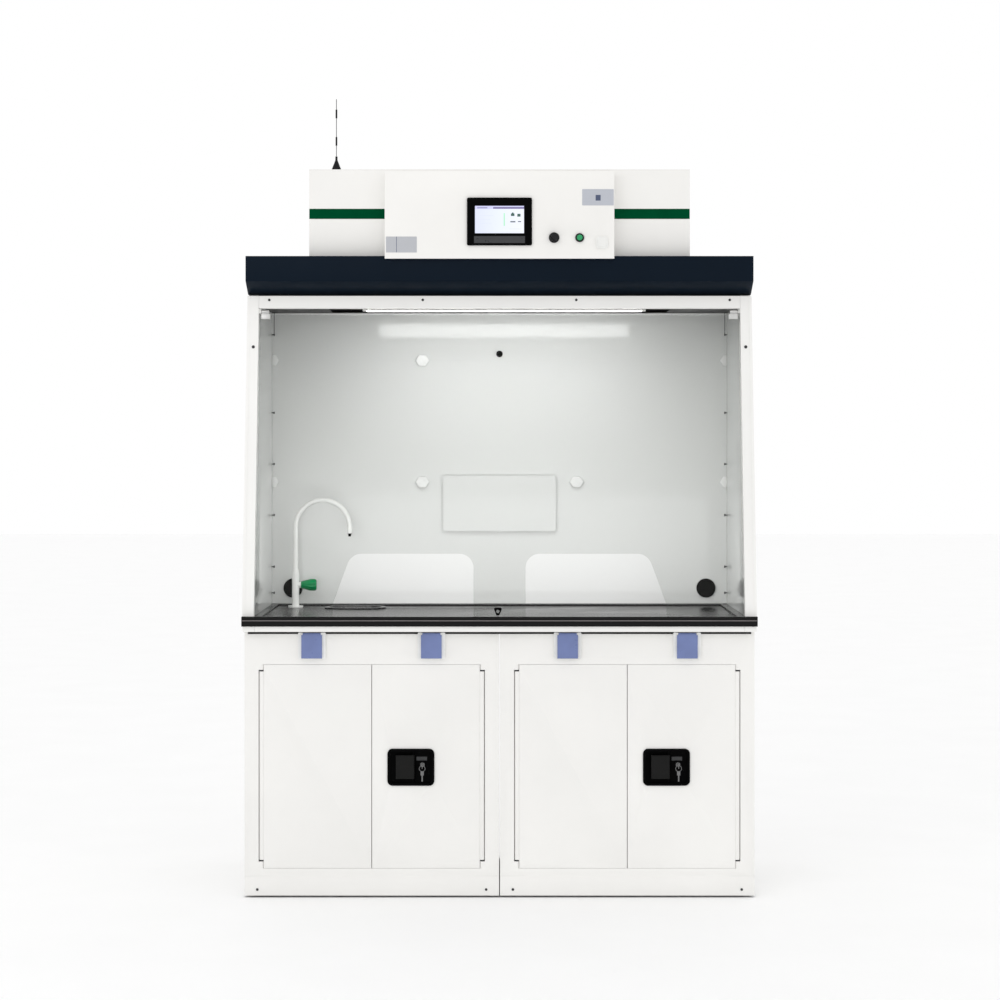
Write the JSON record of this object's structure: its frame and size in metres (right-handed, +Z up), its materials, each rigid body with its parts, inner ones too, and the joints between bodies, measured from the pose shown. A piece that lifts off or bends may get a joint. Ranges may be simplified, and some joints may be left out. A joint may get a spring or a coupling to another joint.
{
  "type": "fume hood",
  "caption": "Filtering laboratory fume hood with a leaning clear visor, hand ports, base cabinets, cup sink, swan-neck tap and a control panel under a filter housing.",
  "frame": {"origin": "on the floor, mid-width and mid-depth of the worktop", "axes": "+Z up, +X to the right seen from the front, -Y towards the user"},
  "size_m": [1.6, 0.75, 2.508],
  "materials": {
    "white_paint": "smooth satin powder coat",
    "white_board": "smooth gloss laminate board",
    "black_top": "polished black solid surface",
    "sink_black": "moulded black plastic",
    "navy_paint": "smooth satin powder coat",
    "ceiling_grey": "matt grey powder coat",
    "green_film": "self-adhesive film",
    "black_plastic": "fine-grained moulded plastic",
    "dark_plastic": "satin moulded plastic",
    "white_plastic": "gloss moulded plastic",
    "blue_plastic": "gloss moulded plastic",
    "clear_acrylic": "polished clear acrylic sheet",
    "bright_metal": "nickel plated",
    "bolt_steel": "zinc plated",
    "dark_steel": "black oxide",
    "galvanised": "galvanised sheet",
    "tap_white": "epoxy coated brass",
    "tap_green": "gloss moulded plastic",
    "green_button": "gloss moulded plastic",
    "black_rubber": "moulded rubber",
    "carbon": "granular activated carbon in a perforated case",
    "prefilter_fibre": "felted filter fibre",
    "lamp_white": "diffusing cover"
  },
  "bodies": {
    "hood": {"left_cabinet": "white_paint", "right_cabinet": "white_paint", "cabinet_shelves": "white_paint", "levelling_feet": "white_plastic", "panel_screws": "dark_steel", "hinge_pins": "dark_steel", "socket_outlets": "white_plastic", "worktop": "black_top", "apron_frame": "white_paint", "cup_sink": "sink_black", "tap_body": "tap_white", "left_post": "white_paint", "right_post": "white_paint", "top_rail": "white_paint", "left_side_panel": "white_paint", "right_side_panel": "white_paint", "back_panel": "white_paint", "liner_boards": "white_board", "baffle_clips": "white_plastic", "service_ports": "black_rubber", "ceiling_panel": "ceiling_grey", "lamp": "lamp_white", "visor_brackets": "bolt_steel", "header_canopy": "navy_paint", "filter_housing": "white_paint", "exhaust_cover": "white_paint", "trim_stripes": "green_film", "control_panel": "white_paint", "touch_panel": "black_plastic", "control_bezels": "dark_plastic", "fan_housings": "galvanised", "carbon_filters": "carbon", "prefilters": "prefilter_fibre", "controller": "dark_plastic", "antenna": "black_plastic"},
    "left_plain_door": {"left_plain_door": "white_paint"},
    "left_lock_door": {"left_lock_door": "white_paint", "left_lock_housing": "black_plastic"},
    "left_paddle": {"left_paddle": "dark_plastic"},
    "left_latch_bolt": {"left_latch_bolt": "bolt_steel"},
    "left_key": {"left_key": "bright_metal"},
    "right_plain_door": {"right_plain_door": "white_paint"},
    "right_lock_door": {"right_lock_door": "white_paint", "right_lock_housing": "black_plastic"},
    "right_paddle": {"right_paddle": "dark_plastic"},
    "right_latch_bolt": {"right_latch_bolt": "bolt_steel"},
    "right_key": {"right_key": "bright_metal"},
    "socket_cover_1": {"socket_cover_1": "blue_plastic"},
    "socket_cover_2": {"socket_cover_2": "blue_plastic"},
    "socket_cover_3": {"socket_cover_3": "blue_plastic"},
    "socket_cover_4": {"socket_cover_4": "blue_plastic"},
    "visor": {"front_visor": "clear_acrylic", "visor_fittings": "black_plastic"},
    "spout": {"tap_spout": "tap_white", "tap_nozzle": "black_plastic"},
    "tap_handle": {"tap_handle": "tap_green"},
    "selector_knob": {"selector_knob": "black_plastic"},
    "start_button": {"start_button": "green_button"},
    "left_impeller": {"left_impeller": "dark_plastic"},
    "right_impeller": {"right_impeller": "dark_plastic"}
  },
  "joints": [
    {"name": "left_plain_door_hinge", "type": "hinge", "parent": "hood", "child": "left_plain_door", "pos_m": [-0.742, -0.328, 0.4075], "axis": [0, 0, -1], "range_deg": [0, 90]},
    {"name": "left_lock_door_hinge", "type": "hinge", "parent": "hood", "child": "left_lock_door", "pos_m": [-0.054, -0.328, 0.4075], "axis": [0, 0, 1], "range_deg": [0, 90]},
    {"name": "left_paddle_pull", "type": "hinge", "parent": "left_lock_door", "child": "left_paddle", "pos_m": [-0.269, -0.333, 0.406], "axis": [0, 0, 1], "range_deg": [0, 40], "stiffness_Nm_per_rad": 0.5},
    {"name": "left_latch_slide", "type": "slide", "parent": "left_lock_door", "child": "left_latch_bolt", "axis": [1, 0, 0], "range_m": [0, 0.01]},
    {"name": "left_key_turn", "type": "hinge", "parent": "left_lock_door", "child": "left_key", "pos_m": [-0.24, -0.33, 0.414], "axis": [0, 1, 0], "range_deg": [0, 90]},
    {"name": "right_plain_door_hinge", "type": "hinge", "parent": "hood", "child": "right_plain_door", "pos_m": [0.054, -0.328, 0.4075], "axis": [0, 0, -1], "range_deg": [0, 90]},
    {"name": "right_lock_door_hinge", "type": "hinge", "parent": "hood", "child": "right_lock_door", "pos_m": [0.742, -0.328, 0.4075], "axis": [0, 0, 1], "range_deg": [0, 90]},
    {"name": "right_paddle_pull", "type": "hinge", "parent": "right_lock_door", "child": "right_paddle", "pos_m": [0.527, -0.333, 0.406], "axis": [0, 0, 1], "range_deg": [0, 40], "stiffness_Nm_per_rad": 0.5},
    {"name": "right_latch_slide", "type": "slide", "parent": "right_lock_door", "child": "right_latch_bolt", "axis": [1, 0, 0], "range_m": [0, 0.01]},
    {"name": "right_key_turn", "type": "hinge", "parent": "right_lock_door", "child": "right_key", "pos_m": [0.556, -0.33, 0.414], "axis": [0, 1, 0], "range_deg": [0, 90]},
    {"name": "socket_cover_1_flap", "type": "hinge", "parent": "hood", "child": "socket_cover_1", "pos_m": [-0.584, -0.3468, 0.822], "axis": [-1, 0, 0], "range_deg": [0, 80], "stiffness_Nm_per_rad": 0.02},
    {"name": "socket_cover_2_flap", "type": "hinge", "parent": "hood", "child": "socket_cover_2", "pos_m": [-0.212, -0.3468, 0.822], "axis": [-1, 0, 0], "range_deg": [0, 80], "stiffness_Nm_per_rad": 0.02},
    {"name": "socket_cover_3_flap", "type": "hinge", "parent": "hood", "child": "socket_cover_3", "pos_m": [0.212, -0.3468, 0.822], "axis": [-1, 0, 0], "range_deg": [0, 80], "stiffness_Nm_per_rad": 0.02},
    {"name": "socket_cover_4_flap", "type": "hinge", "parent": "hood", "child": "socket_cover_4", "pos_m": [0.584, -0.3468, 0.822], "axis": [-1, 0, 0], "range_deg": [0, 80], "stiffness_Nm_per_rad": 0.02},
    {"name": "visor_hinge", "type": "hinge", "parent": "hood", "child": "visor", "pos_m": [0, -0.19856, 1.83245], "axis": [-1, 0, 0], "range_deg": [0, 75]},
    {"name": "spout_swivel", "type": "hinge", "parent": "hood", "child": "spout", "pos_m": [-0.679, 0.152, 0.99], "axis": [0, 0, 1], "range_deg": [-100, 15]},
    {"name": "tap_handle_turn", "type": "hinge", "parent": "hood", "child": "tap_handle", "pos_m": [-0.661, 0.152, 0.945], "axis": [1, 0, 0], "range_deg": [0, 90]},
    {"name": "selector_turn", "type": "hinge", "parent": "hood", "child": "selector_knob", "pos_m": [0.1716, -0.27, 2.0615], "axis": [0, 1, 0], "range_deg": [0, 90]},
    {"name": "start_button_press", "type": "slide", "parent": "hood", "child": "start_button", "axis": [0, 1, 0], "range_m": [0, 0.004], "stiffness_N_per_m": 300},
    {"name": "left_impeller_spin", "type": "hinge", "parent": "hood", "child": "left_impeller", "pos_m": [-0.3, 0.025, 2.09], "axis": [0, 0, 1], "continuous": true},
    {"name": "right_impeller_spin", "type": "hinge", "parent": "hood", "child": "right_impeller", "pos_m": [0.3, 0.025, 2.09], "axis": [0, 0, 1], "continuous": true}
  ],
  "couplings": [
    {"joint": "left_latch_slide", "follows": "left_paddle_pull", "m_per_rad": 0.0143},
    {"joint": "right_latch_slide", "follows": "right_paddle_pull", "m_per_rad": 0.0143}
  ]
}
